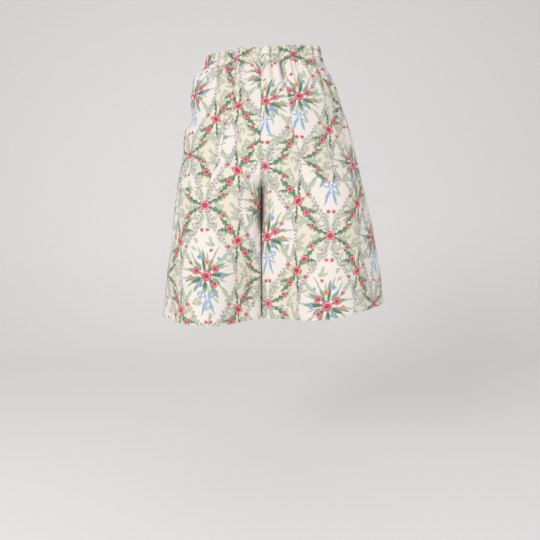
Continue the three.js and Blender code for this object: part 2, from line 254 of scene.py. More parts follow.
# %% Creases
CREASE_COLUMNS = "at drop end_at end_drop half depth"
CREASES = {
    "front_left": table(
        CREASE_COLUMNS,
        (0.985, 322, 0.9, 238, 6, 4.6),
        (0.99, 334, 0.78, 290, 7, 3.6),
        (0.98, 300, 0.95, 190, 5, 1.8),
        (0.775, 36, 0.765, 130, 4.5, 4.0),
        (0.24, 105, 0.27, 330, 7, 5.2),
        (0.33, 240, 0.36, 345, 8, 3.4),
        (0.93, 345, 0.74, 385, 9, 3.0),
        (0.97, 372, 0.8, 470, 10, 3.2),
        (0.9, 400, 0.76, 600, 12, 2.6),
        (0.66, 215, 0.7, 120, 6, 1.4),
        (0.3, 140, 0.36, 215, 7, 1.6),
        (0.14, 205, 0.2, 290, 8, 1.8),
        (0.45, 60, 0.47, 150, 6, 1.2),
        (0.58, 48, 0.57, 160, 5, 1.3),
        (0.12, 52, 0.15, 140, 6, 1.5),
    ),
    "front_right": table(
        CREASE_COLUMNS,
        (0.985, 325, 0.835, 224, 6, 5.4),
        (0.99, 336, 0.76, 284, 7, 3.6),
        (0.975, 300, 0.92, 170, 5, 1.8),
        (0.705, 36, 0.735, 135, 4.5, 4.0),
        (0.86, 374, 0.83, 600, 9, 4.5),
        (0.8, 420, 0.775, 690, 7, 4.5),
        (0.73, 470, 0.74, 680, 7, 3.2),
        (0.93, 345, 0.7, 380, 9, 2.6),
        (0.96, 372, 0.82, 500, 10, 3.0),
        (0.88, 430, 0.74, 610, 12, 2.2),
        (0.1, 232, 0.3, 290, 7, 4.0),
        (0.05, 205, 0.22, 225, 6, 1.8),
        (0.62, 240, 0.68, 130, 6, 1.3),
        (0.4, 60, 0.42, 165, 6, 1.4),
        (0.53, 48, 0.55, 130, 5, 1.2),
        (0.2, 60, 0.18, 150, 7, 1.5),
    ),
    "back_left": table(
        CREASE_COLUMNS,
        (0.985, 305, 0.84, 225, 8, 2.8),
        (0.99, 325, 0.76, 280, 8, 2.2),
        (0.94, 350, 0.72, 392, 9, 2.8),
        (0.96, 374, 0.8, 520, 11, 3.0),
        (0.25, 60, 0.24, 170, 7, 1.6),
        (0.66, 55, 0.64, 140, 6, 1.4),
        (0.12, 150, 0.2, 240, 8, 1.6),
    ),
    "back_right": table(
        CREASE_COLUMNS,
        (0.985, 302, 0.8, 232, 8, 2.6),
        (0.99, 328, 0.78, 272, 8, 2.4),
        (0.94, 350, 0.7, 400, 9, 2.6),
        (0.95, 376, 0.82, 500, 11, 2.8),
        (0.55, 58, 0.57, 150, 6, 1.6),
        (0.78, 50, 0.76, 135, 6, 1.3),
        (0.16, 165, 0.1, 250, 8, 1.8),
    ),
}


print("creases placed:", sum(len(creases["at"]) for creases in CREASES.values()))

# %% [markdown]
# ## How folds and creases move the cloth
# A fold is a smooth hollow across the cloth that grows and dies along its length. A crease is a
# narrow dent with a soft swelling on each side, as firm cotton makes when it is bent.


# %% Rise of folds and creases
STOPS = 6
SWELL, SWELL_WIDTH = 0.4, 2.1


def rows_of(columns):
    """The rows of a table, each as a small dictionary."""
    return [dict(zip(columns, values)) for values in zip(*columns.values())]


def fold_rise(name, shares, drop, row_length):
    """How far the big folds push one row of cloth out."""
    rise = np.zeros_like(shares)
    for fold in rows_of(FOLDS[name]):
        if not fold["top"] < drop < fold["bottom"]:
            continue
        along = (drop - fold["top"]) / (fold["bottom"] - fold["top"])
        middle = fold["at"] + (fold["end_at"] - fold["at"]) * along
        off = (shares - middle) * row_length / fold["half"]
        rise += fold["rise"] * np.exp(-off * off) * math.sin(math.pi * along)
    return rise * ease(0, 0.04, shares) * ease(0, 0.04, 1 - shares)


def crease_rise(name, points):
    """How far the creases push a grid of cloth points out, by their distance from each crease line."""
    side, face = SIDES[name]
    rise = np.zeros(points.shape[:2])
    for crease in rows_of(CREASES[name]):
        stops = []
        for t in np.linspace(0, 1, STOPS):
            share = crease["at"] + (crease["end_at"] - crease["at"]) * t
            drop = crease["drop"] + (crease["end_drop"] - crease["drop"]) * t
            stops.append(ring_row(side, face, drop, np.array([share]))[0][0])
        nearest = np.full(rise.shape, 1e9)
        along = np.zeros(rise.shape)
        for k in range(len(stops) - 1):
            step = stops[k + 1] - stops[k]
            t = np.clip((points - stops[k]) @ step / (step @ step), 0, 1)
            away = np.linalg.norm(points - stops[k] - t[..., None] * step, axis=-1)
            closer = away < nearest
            nearest = np.where(closer, away, nearest)
            along = np.where(closer, (k + t) / (len(stops) - 1), along)
        fade = ease(0, 0.14, along + 0.03) * (1 - along) ** 0.8
        off = nearest / crease["half"]
        swelling = SWELL * np.exp(-((off / SWELL_WIDTH) ** 2))
        rise += crease["depth"] * fade * (swelling - np.exp(-off * off))
    return rise


middle_rise = fold_rise("front_left", np.linspace(0, 1, 101), 600, widths[2])
print("folds at drop 600 sink the front by up to", round(-middle_rise.min(), 1), "mm")


# %% [markdown]
# ## Gathers
# The cloth is wider than the waist, and the elastic draws it in. The gathers start at the casing and
# run out at different heights. Real ones are never evenly spaced, so a slow wave shifts them, and
# each gets its own depth, length and lean from a seeded list of numbers.


# %% Gathers
PUCKERS, CRINKLES = 1.25, 0.75
SEAM_DEPTH, SEAM_REACH = 0.9, 0.8


def gather_rise(name, columns, drops):
    """How far the gathers push the cloth out, for all rows at once."""
    side, face = SIDES[name]
    chance = np.random.default_rng(11 + 3 * side + face)
    deep = chance.uniform(0.45, 1.3, GATHERS + 1)
    reach = chance.uniform(0.42, 1.1, GATHERS + 1) * GATHER_FADE
    lean = chance.uniform(-0.2, 0.2, GATHERS + 1)
    deep[[0, -1]], reach[[0, -1]], lean[[0, -1]] = SEAM_DEPTH, SEAM_REACH * GATHER_FADE, 0
    share = columns / COLUMNS
    turn = GATHERS * share + 0.2 * np.sin(2 * np.pi * share) * np.sin(9 * share + side)
    k = np.clip(np.round(turn).astype(int), 0, GATHERS)
    below = drops[:, None]
    off = turn[None, :] - k[None, :] + lean[k][None, :] * ease(50, 150, below)
    wave = 0.45 - 0.62 * np.cos(2 * np.pi * off) - 1.15 * np.exp(-((off / 0.15) ** 2))
    left = 1 - np.clip((below - 45) / (reach[k][None, :] - 45), 0, 1)
    fade = left * left * (3 - 2 * left)
    grown = GATHER_HEIGHT * (1 + 0.25 * ease(38, 60, below))
    ends = np.sin(np.pi * share) ** 0.3
    puckers = np.sin(2 * np.pi * (2.35 * turn + 0.6 * np.sin(3.1 * turn))) * (1 - ease(40, 115, below))
    crinkles = np.sin(2 * np.pi * (5.3 * turn + 0.8 * np.sin(2.3 * turn))) * (1 - ease(38, 74, below))
    small = (PUCKERS * puckers + CRINKLES * crinkles) * ends
    return wave * deep[k][None, :] * grown * fade * 0.9 + small


depths = gather_rise("front_left", np.arange(COLUMNS * FINE + 1) / FINE, np.array([60.0]))
print("gathers rise from", round(depths.min(), 1), "to", round(depths.max(), 1), "mm below the casing")


# %% [markdown]
# ## One panel as a fine grid
# Each panel is laid out as rows and columns of points. First comes the smooth shape, then gathers,
# folds and creases move each point along the cloth's own outward direction. The cloth also dips a
# little along each seam, where the stitches pull it down. The flat coordinates say where each
# point lay on the table when it was cut, so the print follows the cloth and breaks at the seams.

# %% Directions of the cloth
ROW_BANDS = (
    (CASING_HEIGHT, 120, 26),
    (120, 300, 42),
    (300, CROTCH_DROP, 30),
    (CROTCH_DROP, 440, 22),
    (440, HEM_DROP, 50),
)


def outward(points, sign):
    """The cloth's outward direction at each point of a grid."""
    down = np.gradient(points, axis=0)
    along = np.gradient(points, axis=1)
    facing = np.cross(down, along) * sign
    return facing / np.maximum(np.linalg.norm(facing, axis=2, keepdims=True), 1e-9)


def seam_directions(turns, side, face, drops, points):
    """Along a seam the directions stay in the seam's own plane, so the pieces stay side by side."""
    turns = turns.copy()
    turns[0, :, 2] = 0
    turns[:, 0, 1] = 0
    run = np.gradient(points[:, -1], axis=0)
    centre = np.stack([np.zeros(len(drops)), face * -run[:, 2], face * run[:, 1]], 1)
    turns[drops < CROTCH_DROP, -1] = centre[drops < CROTCH_DROP]
    turns[drops > CROTCH_DROP, -1] = (-side, 0, 0)
    turns[drops == CROTCH_DROP, -1] = (0, 0, -1)
    return turns / np.maximum(np.linalg.norm(turns, axis=2, keepdims=True), 1e-9)


def fine_drops():
    """Row levels, closest together at the crotch where the cloth turns most."""
    return np.unique(np.concatenate([np.linspace(*band) for band in ROW_BANDS]).round(3))


def soften(grid, passes):
    """Evens out a grid along its rows, leaving the two seam columns where they are."""
    for _ in range(passes):
        grid[:, 1:-1] = 0.25 * grid[:, :-2] + 0.5 * grid[:, 1:-1] + 0.25 * grid[:, 2:]
    return grid


print("rows of points from casing to hem:", len(fine_drops()))

# %% [markdown]
# ## All the movements of one panel put together
# The gathers, creases and folds are added up, with three quiet ones. The cloth sinks along every
# seam and along the stitched hem, and it wanders in and out a little, as cloth that was worn does.
# Where the two legs touch, none of them can lift the cloth.


# %% Panel grids
EVENING_PASSES = 10
SEAM_DIP, SEAM_DIP_HALF = 0.8, 2.6
HEM_DIP, HEM_DIP_HALF = 0.45, 2.2
WANDER = 0.6


def panel_grid(name):
    """The middle of a panel's cloth: points, outward directions and flat coordinates, in mm."""
    side, face = SIDES[name]
    columns = np.arange(COLUMNS * FINE + 1) / FINE
    drops = fine_drops()
    plain, shares, lengths = [], [], []
    for drop in drops:
        share = column_shares(side, drop, columns)
        points, length = ring_row(side, face, drop, share)
        plain.append(points)
        shares.append(share)
        lengths.append(length)
    plain, shares, lengths = np.array(plain), np.array(shares), np.array(lengths)
    plain = soften(plain, EVENING_PASSES)
    sign = side * face
    turns = seam_directions(outward(plain, sign), side, face, drops, plain)
    rise = gather_rise(name, columns, drops) + crease_rise(name, plain) * ease(0, 0.03, shares)
    for i, drop in enumerate(drops):
        rise[i] += fold_rise(name, shares[i], drop, lengths[i])
    from_seam = np.minimum(shares, 1 - shares) * lengths[:, None]
    rise -= SEAM_DIP * np.exp(-((from_seam / SEAM_DIP_HALF) ** 2))
    wander = np.sin(plain[..., 0] / 31 + plain[..., 2] / 47 + side) * np.sin(plain[..., 2] / 38 - face)
    rise += WANDER * wander * ease(0, 0.05, shares) * ease(0, 0.05, 1 - shares)
    hem_dip = HEM_DIP * np.exp(-(((drops - (HEM_DROP - HEM_DEPTH)) / HEM_DIP_HALF) ** 2))
    rise -= hem_dip[:, None]
    touching = 1 - ease(0.5, 7, np.abs(plain[..., 0]))
    rise *= 1 - touching * ease(TOUCH_TOP, TOUCH_FULL, drops)[:, None]
    points = plain + turns * rise[..., None]
    points[:, :-1, 0] = side * np.maximum(side * points[:, :-1, 0], CLOSE)
    turns = seam_directions(outward(points, sign), side, face, drops, points)
    return {
        "side": side,
        "face": face,
        "drops": drops,
        "points": points,
        "turns": turns,
        "flat": flat_coordinates(points, plain),
    }


def flat_coordinates(points, plain, straight_at=60.0):
    """Where each point lay when the cloth was flat. The grain runs down the line at |x| = 60 mm."""
    steps = np.linalg.norm(np.diff(points, axis=1), axis=2)
    run = np.concatenate([np.zeros((len(points), 1)), np.cumsum(steps, axis=1)], axis=1)
    u = np.zeros_like(run)
    spine = []
    for i, row in enumerate(plain):
        away = np.abs(row[:, 0])
        start = np.interp(-straight_at, -away, run[i])
        u[i] = run[i] - start
        spine.append([np.interp(start, run[i], row[:, k]) for k in range(3)])
    spine = np.array(spine)
    down = np.concatenate([[0], np.cumsum(np.linalg.norm(np.diff(spine, axis=0), axis=1))])
    v = down[:, None] + (spine[:, 2][:, None] - plain[..., 2])
    return np.stack([u, v], 2)


grids = {name: panel_grid(name) for name in SIDES}
for name, grid in grids.items():
    print(name, "grid", grid["points"].shape[:2])


# %% [markdown]
# ## From grids to cloth
# A grid becomes a sheet of faces. Its thickness is added afterwards by a modifier, which
# puts the right side of the cloth in the first material and the wrong side in the second.


# %% Cloth from a grid
def cloth_piece(name, points, flat, closed=False, flip=False):
    """A mesh sheet from a grid of points in mm, with its flat coordinates as a map in metres."""
    rows, across = points.shape[:2]
    index = np.arange(rows * across).reshape(rows, across)
    right = np.roll(index, -1, axis=1) if closed else index[:, 1:]
    left = index if closed else index[:, :-1]
    quads = np.stack([left[:-1], left[1:], right[1:], right[:-1]], 2).reshape(-1, 4)
    if flip:
        quads = quads[:, ::-1]
    mesh = bpy.data.meshes.new(name)
    mesh.from_pydata((points.reshape(-1, 3) * MM).tolist(), [], quads.tolist())
    layer = mesh.uv_layers.new(name="flat cut")
    corner = np.zeros(len(mesh.loops), np.int32)
    mesh.loops.foreach_get("vertex_index", corner)
    uv = flat.reshape(-1, 2)[corner] * MM
    if closed:
        last = flat[:, -1, 0].max() + np.linalg.norm(points[0, 0] - points[0, -1])
        seam = (corner % across == 0).reshape(-1, 4)
        wraps = seam.any(1) & (corner.reshape(-1, 4) % across == across - 1).any(1)
        uv = uv.reshape(-1, 4, 2)
        uv[..., 0] = np.where(seam & wraps[:, None], last * MM, uv[..., 0])
        uv = uv.reshape(-1, 2)
    layer.data.foreach_set("uv", uv.astype(np.float32).ravel())
    mesh.polygons.foreach_set("use_smooth", np.ones(len(mesh.polygons), bool))
    piece = bpy.data.objects.new(name, mesh)
    bpy.context.scene.collection.objects.link(piece)
    thick = piece.modifiers.new("cloth thickness", "SOLIDIFY")
    thick.thickness = CLOTH * MM
    thick.offset = 0
    thick.material_offset = 1
    return piece


def area_of(piece):
    """One side of the cloth, in square metres."""
    return sum(face.area for face in piece.data.polygons)


def flat_size(flat):
    """The width and length of the rectangle a piece is cut from, in metres."""
    span = flat.reshape(-1, 2).max(0) - flat.reshape(-1, 2).min(0)
    return float(span[0]) * MM, float(span[1]) * MM


print("cloth is", CLOTH, "mm thick")

# %% [markdown]
# ## The four panels of cloth, with their hems
# The hem is turned up inside: the cloth goes round a tight bend and back up behind itself. Each panel
# was cut from another place on the printed cloth, so each has its own starting point in the print.

# %% Panels of cloth
HEM_SPACE = 0.25
PRINT_START = {
    "front_left": (96, 40),
    "front_right": (64, 120),
    "back_left": (56, 265),
    "back_right": (120, 60),
    "pocket_left": (25, 215),
    "pocket_right": (118, 250),
    "casing": (40, 10),
}
pieces = {}
for name, grid in grids.items():
    fold = []
    last, turn = grid["points"][-1], grid["turns"][-1]
    down = grid["points"][-1] - grid["points"][-2]
    down /= np.linalg.norm(down, axis=1, keepdims=True)
    gap = CLOTH + HEM_SPACE
    for angle in (60, 120, 180):
        a = math.radians(angle)
        fold.append(last - turn * gap / 2 * (1 - math.cos(a)) + down * gap / 2 * math.sin(a))
    above = [i for i, d in enumerate(grid["drops"]) if HEM_DROP - HEM_DEPTH < d < HEM_DROP][::-1]
    inside = [grid["points"][i] - grid["turns"][i] * gap for i in above]
    points = np.concatenate([grid["points"], np.array(fold), np.array(inside)])
    extra = np.array([1, 2, 2.5] + [HEM_DROP - grid["drops"][i] + 3 for i in above])
    flat_below = grid["flat"][-1][None] + np.stack([np.zeros(len(extra)), extra], 1)[:, None, :]
    flat = np.concatenate([grid["flat"], flat_below]) + np.array(PRINT_START[name])
    flip = grid["side"] * grid["face"] < 0
    pieces[name] = cloth_piece(name + "_cloth", points, flat, flip=flip)
    grid["size"] = flat_size(flat)
    print(name, "area", round(area_of(pieces[name]), 4), "flat", [round(x, 3) for x in grid["size"]])

# %% [markdown]
# ## Patch pockets
# A pocket lies on its front and has the same shape, so it is made from the front's own points moved
# out. It is caught in the casing and in the side seam. Its mouth is the slanted stretch of the side,
# where the cloth stands away a little. The edges are sewn down, so they lie slightly lower.

# %% Pockets
POCKET_GAPE = 2.2
POCKET_LIFT = 1.5
POCKET_EDGE_DIP = 0.3
MOUTH_TOP, MOUTH_BOTTOM = 60, 214
pocket_sizes = {}
for name, front in (("pocket_left", "front_left"), ("pocket_right", "front_right")):
    grid = grids[front]
    rows = grid["drops"] <= POCKET_BOTTOM
    under_pocket = slice(0, POCKET_COLUMNS * FINE + 1)
    drops = grid["drops"][rows]
    columns = np.arange(POCKET_COLUMNS * FINE + 1) / FINE
    gape = POCKET_GAPE * np.sin(np.pi * np.clip((drops - MOUTH_TOP) / (MOUTH_BOTTOM - MOUTH_TOP), 0, 1))
    lift = POCKET_LIFT + gape[:, None] * np.maximum(0, 1 - columns / 4)[None, :]
    bottom = np.exp(-(((drops - POCKET_BOTTOM) / 3.5) ** 2))[:, None]
    inner = np.exp(-(((columns - POCKET_COLUMNS) / 0.5) ** 2))[None, :]
    lift = lift - POCKET_EDGE_DIP * np.maximum(bottom, inner)
    turns = grid["turns"][rows][:, under_pocket]
    points = grid["points"][rows][:, under_pocket] + turns * lift[..., None]
    flat = grid["flat"][rows][:, under_pocket] + np.array(PRINT_START[name])
    flip = grid["side"] * grid["face"] < 0
    pieces[name] = cloth_piece(name + "_cloth", points, flat, flip=flip)
    pocket_sizes[name] = flat_size(flat)
    print(name, "area", round(area_of(pieces[name]), 4))

# %% [markdown]
# ## The elastic casing
# The casing is one strip folded over the elastic. It is gathered together with the panels below it,
# so its ridges meet theirs. One function gives the casing's middle at any height, all round the
# waist, and another the way it faces there.


# %% Rings of the casing
round_the_waist = ["front_left", "back_left", "back_right", "front_right"]
column_list = []
for k, name in enumerate(round_the_waist):
    columns = np.arange(COLUMNS * FINE) / FINE
    column_list.append(columns if k % 2 else COLUMNS - columns)


def casing_ring(drop, gather):
    """One level of the casing's middle surface, all the way round."""
    spots = []
    for name, columns in zip(round_the_waist, column_list):
        side, face = SIDES[name]
        order = np.argsort(columns)
        share = column_shares(side, CASING_HEIGHT, columns)
        points, _ = ring_row(side, face, drop, share)
        sway = 0.5 * math.sin(math.pi * drop / CASING_HEIGHT) * np.sin(columns * 0.9 + 2 * face + side)
        swayed = np.clip(columns + sway * np.sin(np.pi * columns / COLUMNS), 0, COLUMNS)
        rise = np.empty(len(columns))
        rise[order] = gather_rise(name, swayed[order], np.array([float(CASING_HEIGHT)]))[0]
        index = np.round(columns * FINE).astype(int)
        turn = grids[name]["turns"][0][index]
        spots.append(points + turn * (rise * gather)[:, None])
    return np.concatenate(spots)


def ring_turns(ring):
    """The way each point of a level ring faces, straight out from the waist."""
    run = np.roll(ring, -1, axis=0) - np.roll(ring, 1, axis=0)
    out = np.stack([run[:, 1], -run[:, 0], np.zeros(len(run))], 1)
    out /= np.linalg.norm(out, axis=1, keepdims=True)
    return out if (out * ring).sum() > 0 else -out


print("points round the casing:", sum(len(columns) for columns in column_list))

# %% [markdown]
# ## The strip folded over the elastic
# The cloth goes up the outside, over the top and down the inside. Each row of the table is one
# height on that way round, with how strongly the gathers show there and how far out it lies. Above
# the elastic the edge stands up in a small uneven ruffle.

# %% Casing
JOIN_DROP = 33
RUFFLE_WAVES = (17, 31, 53)
bottom_ring = np.concatenate(
    [grids[n]["points"][0][np.round(c * FINE).astype(int)] for n, c in zip(round_the_waist, column_list)]
)
around = np.arange(len(bottom_ring)) / len(bottom_ring)
slow, middle, quick = (2 * np.pi * waves * around for waves in RUFFLE_WAVES)
ruffle = np.sin(slow + 2 * np.sin(9 * around)) + 0.9 * np.sin(middle)
ruffle += 0.6 * np.sin(quick + 3 * np.sin(7 * around))
CASING_ROWS = table(
    "drop gather out",
    (37.2, 1.0, 0.1),
    (36.0, 0.95, 0.7),
    (34.0, 0.85, 1.0),
    (30.0, 0.78, 1.2),
    (25.0, 0.72, 1.25),
    (19.0, 0.68, 1.25),
    (13.0, 0.7, 1.2),
    (8.5, 0.76, 1.1),
    (5.5, 0.82, 0.9),
    (3.0, 0.88, 0.85),
    (1.2, 0.92, 0.75),
    (0.2, 0.94, 0.45),
    (0.0, 0.95, 0.0),
    (0.2, 0.94, -0.45),
    (1.2, 0.92, -0.75),
    (3.0, 0.88, -0.85),
    (8.5, 0.76, -0.95),
    (19.0, 0.68, -0.95),
    (30.0, 0.78, -0.95),
    (36.0, 0.95, -0.75),
)
levels = []
for row in rows_of(CASING_ROWS):
    ring = casing_ring(row["drop"], row["gather"])
    if row["drop"] > JOIN_DROP:
        near = (row["drop"] - JOIN_DROP) / (CASING_HEIGHT - JOIN_DROP)
        panel_tops = bottom_ring + np.array([0, 0, CASING_HEIGHT - row["drop"]])
        ring = ring * (1 - near) + panel_tops * near
    ring = ring + ring_turns(ring) * row["out"]
    ring[:, 2] += ruffle * float(1 - ease(0, 14, row["drop"]))
    levels.append(ring)
levels = np.array(levels)
across = np.concatenate([[0], np.cumsum(np.linalg.norm(np.diff(levels[4], axis=0), axis=1))])
high = np.concatenate([[0], np.cumsum(np.linalg.norm(np.diff(levels, axis=0), axis=2).mean(1))])
casing_flat = np.stack(np.broadcast_arrays(across[None, :], -high[:, None]), 2)
casing_flat = casing_flat + np.array(PRINT_START["casing"])
pieces["waistband"] = cloth_piece("waistband_cloth", levels, casing_flat, closed=True, flip=True)
casing_size = (float(across[-1] + 5) * MM, float(high[-1]) * MM)
print("casing area", round(area_of(pieces["waistband"]), 4), "flat", casing_size)

# %% [markdown]
# ## A way to write dyes and weaves as sums
# Every colour on the cloth is worked out at each spot from its flat coordinates. This small class
# lets a spot's number be added, multiplied and compared as in ordinary arithmetic, and each step
# becomes one node of the material.


# %% Arithmetic for materials
class Term:
    """A number, place or colour that a material works out at each spot of the cloth."""

    def __init__(self, tree, socket):
        self.tree, self.socket = tree, socket

    def node(self, kind, settings=None, inputs=None, output=0):
        """Any node: its kind, its settings, and what goes into each input."""
        made = self.tree.nodes.new(kind)
        for key, value in (settings or {}).items():
            setattr(made, key, value)
        for key, value in (inputs or {}).items():
            if isinstance(value, Term):
                self.tree.links.new(value.socket, made.inputs[key])
            else:
                made.inputs[key].default_value = value
        return Term(self.tree, made.outputs[output])

    def sum(self, operation, *others):
        """This number worked on by the others, in one step of arithmetic."""
        values = dict(enumerate((self, *others)))
        return self.node("ShaderNodeMath", {"operation": operation}, values)

    def __add__(self, other):
        return self.sum("ADD", other)

    def __sub__(self, other):
        return self.sum("SUBTRACT", other)

    def __mul__(self, other):
        return self.sum("MULTIPLY", other)

    def __truediv__(self, other):
        return self.sum("DIVIDE", other)

    def __pow__(self, other):
        return self.sum("POWER", other)

    __radd__ = __add__
    __rmul__ = __mul__

    def __rsub__(self, other):
        return self.node("ShaderNodeMath", {"operation": "SUBTRACT"}, {0: other, 1: self})

    def __neg__(self):
        return self * -1

    def __abs__(self):
        return self.sum("ABSOLUTE")

    def low(self, other):
        return self.sum("MINIMUM", other)

    def high(self, other):
        return self.sum("MAXIMUM", other)

    def round(self):
        return self.sum("ROUND")

    def part(self):
        """What is left after the whole number is taken away."""
        return self.sum("FRACT")

    def sin(self):
        return self.sum("SINE")

    def cos(self):
        return self.sum("COSINE")

    def clear(self, sharpness):
        """0 outside and 1 inside, where the number is above nothing, with a soft edge."""
        values = {0: self, 1: sharpness}
        return self.node("ShaderNodeMath", {"operation": "MULTIPLY", "use_clamp": True}, values)

    def fades(self, start, end):
        """1 up to start, falling to 0 at end."""
        inputs = {"Value": self, "From Min": start, "From Max": end, "To Min": 1.0, "To Max": 0.0}
        return self.node("ShaderNodeMapRange", {"interpolation_type": "SMOOTHSTEP"}, inputs)

    def vector(self, operation, other, output=0):
        """This place or arrow worked on by another one."""
        return self.node("ShaderNodeVectorMath", {"operation": operation}, {0: self, 1: other}, output)

    def xyz(self):
        """The three numbers of a place, one by one."""
        made = self.node("ShaderNodeSeparateXYZ", inputs={0: self}).socket.node
        return [Term(self.tree, made.outputs[k]) for k in range(3)]

    def placed(self, place, turn, size):
        """This place as seen from a motif at place, turned by turn degrees and of that size."""
        inputs = {
            "Vector": self,
            "Location": (*place, 0),
            "Rotation": (0, 0, math.radians(turn)),
            "Scale": (*size, 1),
        }
        return self.node("ShaderNodeMapping", {"vector_type": "TEXTURE"}, inputs)

    def over(self, mask, colour):
        """This colour with another one laid over it where the mask is 1."""
        settings = {"data_type": "RGBA", "clamp_factor": True}
        inputs = {"Factor": mask, 6: self, 7: colour}
        return self.node("ShaderNodeMix", settings, inputs, 2)


def dye(code):
    """A colour written as six hexadecimal digits, as the renderer wants it."""
    values = [int(code[k : k + 2], 16) / 255 for k in (0, 2, 4)]
    return (*[v / 12.92 if v <= 0.04045 else ((v + 0.055) / 1.055) ** 2.4 for v in values], 1.0)


print("cream is", [round(v, 3) for v in dye("e4dccb")])

# %% [markdown]
# ## Motifs of the print
# The print is drawn as a printer's blocks would be: a leaf, a flower, a ribbon. Each function takes a
# spot and says how deep it lies inside that motif, where more than 0 is inside. Leaves are lens
# shapes, some with toothed edges. In a spray they stand round a middle.


# %% Leaves
def leaf(spot, place, turn, length, width, teeth=0.0, bend=0.0):
    """How far inside a leaf a spot lies, in mm, and which side of its rib."""
    x, y, _ = spot.placed(place, turn, (length, width)).xyz()
    if bend:
        y = y + x * (1 - x) * bend
    edge = x * (1 - x) * 4
    if teeth:
        edge = edge * (1 - (x * 5 - abs(y) * 0.9).part() * teeth)
    return (edge - abs(y)) * width, y


def spray(spot, place, count, start, length, width, swing):
    """Leaves standing round a middle, like the rays of a star, each a little longer or shorter."""
    x, y, _ = spot.placed(place, 0, (1, 1)).xyz()
    reach = (x * x + y * y) ** 0.5
    angle = y.sum("ARCTAN2", x) * (count / (2 * math.pi))
    nearest = angle.round()
    off = (angle - nearest) * (2 * math.pi / count)
    longer = (nearest * 2.4 + swing).sin() * 0.28 + 1
    along = (reach * off.cos() - start) / (longer * length)
    across = abs(reach * off.sin() + (along - 0.5) * longer * 2) / width
    return (along * (1 - along) * 4 - across) * width


print("leaf motifs:", leaf.__name__, "and", spray.__name__)

# %% [markdown]
# ## Flowers and ribbons
# Flowers that overlap would need many layers, so each spot only asks which flower it is nearest to.
# The ribbon is two strands twisted round one another, with small leaves and buds along it, and it
# swings in and out. Stray leaves lie one to each cell of an irregular net.

# %% Flowers and ribbons
REPEAT_ACROSS, REPEAT_DOWN = 150, 320
RIBBON_SWING, RIBBON_AWAY = 33, 40


def nearest_flower(flowers):
    """Of several flowers, the one a spot is closest to: its own place, distance and kind."""
    place, reach, kind = None, None, None
    for spot, x, y, size, hue in flowers:
        seen = spot.placed((x, y), hue * 300, (size, size))
        far = seen.vector("LENGTH", (0, 0, 0), 1)
        if place is None:
            place, reach, kind = seen, far, hue
            continue
        closer = far.sum("LESS_THAN", reach)
        mixed = {"data_type": "VECTOR", "clamp_factor": True}
        place = seen.node("ShaderNodeMix", mixed, {"Factor": closer, 4: place, 5: seen}, 1)
        kind = seen.node("ShaderNodeMix", {"data_type": "FLOAT"}, {"Factor": closer, 2: kind, 3: hue}, 0)
        reach = far.low(reach)
    return place, reach, kind


def beyond_ribbon(x, y):
    """How far outside the ribbon's middle line a spot lies, in mm."""
    swing = (y * (2 * math.pi / REPEAT_DOWN)).cos()
    return x - swing * RIBBON_SWING - RIBBON_AWAY


def garland(x, y):
    """A leafy ribbon along a line that swings in and out: depths of leaves, two strands and buds."""
    off = beyond_ribbon(x, y) * 0.92
    along = y * 1.08 + off * 0.5
    side = off.sum("GREATER_THAN", 0.0)
    step = (along / 9.5 + side * 0.5).part() * 9.5
    out = abs(off) - 1.0
    a = (step + out) / 11
    b = abs(step - out) / 3.0
    leaves = (a * (1 - a) * 4 - b) * 2.2
    twist = (along * (2 * math.pi / 19)).sin() * 2.5
    first = 1.35 - abs(off - twist)
    second = 1.15 - abs(off + twist)
    beat = abs((along / 28.5).part() - 0.5) * 28.5
    buds = 3.1 - (beat * beat + off * off) ** 0.5
    return leaves, first, second, buds


def strewn(spot, place, size, thin, forked):
    """Stray leaves, one in each irregular cell: their depth and a chance from 0 to 1 for each."""
    small = spot.placed(place, 20, size)
    net = {"Vector": small, "Scale": 1.0}
    cells = small.node("ShaderNodeTexVoronoi", {"voronoi_dimensions": "2D"}, net, 2)
    chance = Term(small.tree, cells.socket.node.outputs["Color"]).xyz()
    seen = small.vector("SUBTRACT", cells)
    spun = {"Vector": seen, "Angle": chance[0] * 3.4 + 0.2}
    a, b, _ = seen.node("ShaderNodeVectorRotate", {"rotation_type": "Z_AXIS"}, spun).xyz()
    a = a + 0.5
    b = abs(b) - a * forked if forked else b - a * (1 - a) * 0.5
    return (a * (1 - a) * 4 - abs(b) * thin) * 3, chance[1]


print("the ribbon frames are", 2 * (RIBBON_SWING + RIBBON_AWAY), "mm wide at most")

# %% [markdown]
# ## Inks and the ground of the print
# A furnishing print uses about a dozen inks, each from its own screen, on cream cloth. The cloth is
# whiter inside the frames, and thin stray leaves lie all over it, closest together outside them.

# %% Inks and ground
INK = {
    "cream": "e4dccb",
    "white": "eae3db",
    "olive": "4c6250",
    "dark sage": "5f8069",
    "mid sage": "8ea68c",
    "dull sage": "98a288",
    "pale sage": "a9b59d",
    "grey sage": "c9cdba",
    "rose": "c9566a",
    "dark rose": "98303f",
    "light rose": "eba6a8",
    "peach": "dfa27a",
    "blue": "8fb0dc",
    "grey blue": "98a5bb",
    "lilac": "bcb1c4",
}


STRAY_LEAVES = (((3, 5), (17, 19), 5.0, 0), ((11, 2), (25, 28), 6.5, 0.34))


def ink(spot, name):
    """A plain colour to start painting from."""
    start = spot.node("ShaderNodeRGB")
    start.socket.default_value = dye(INK[name])
    return start


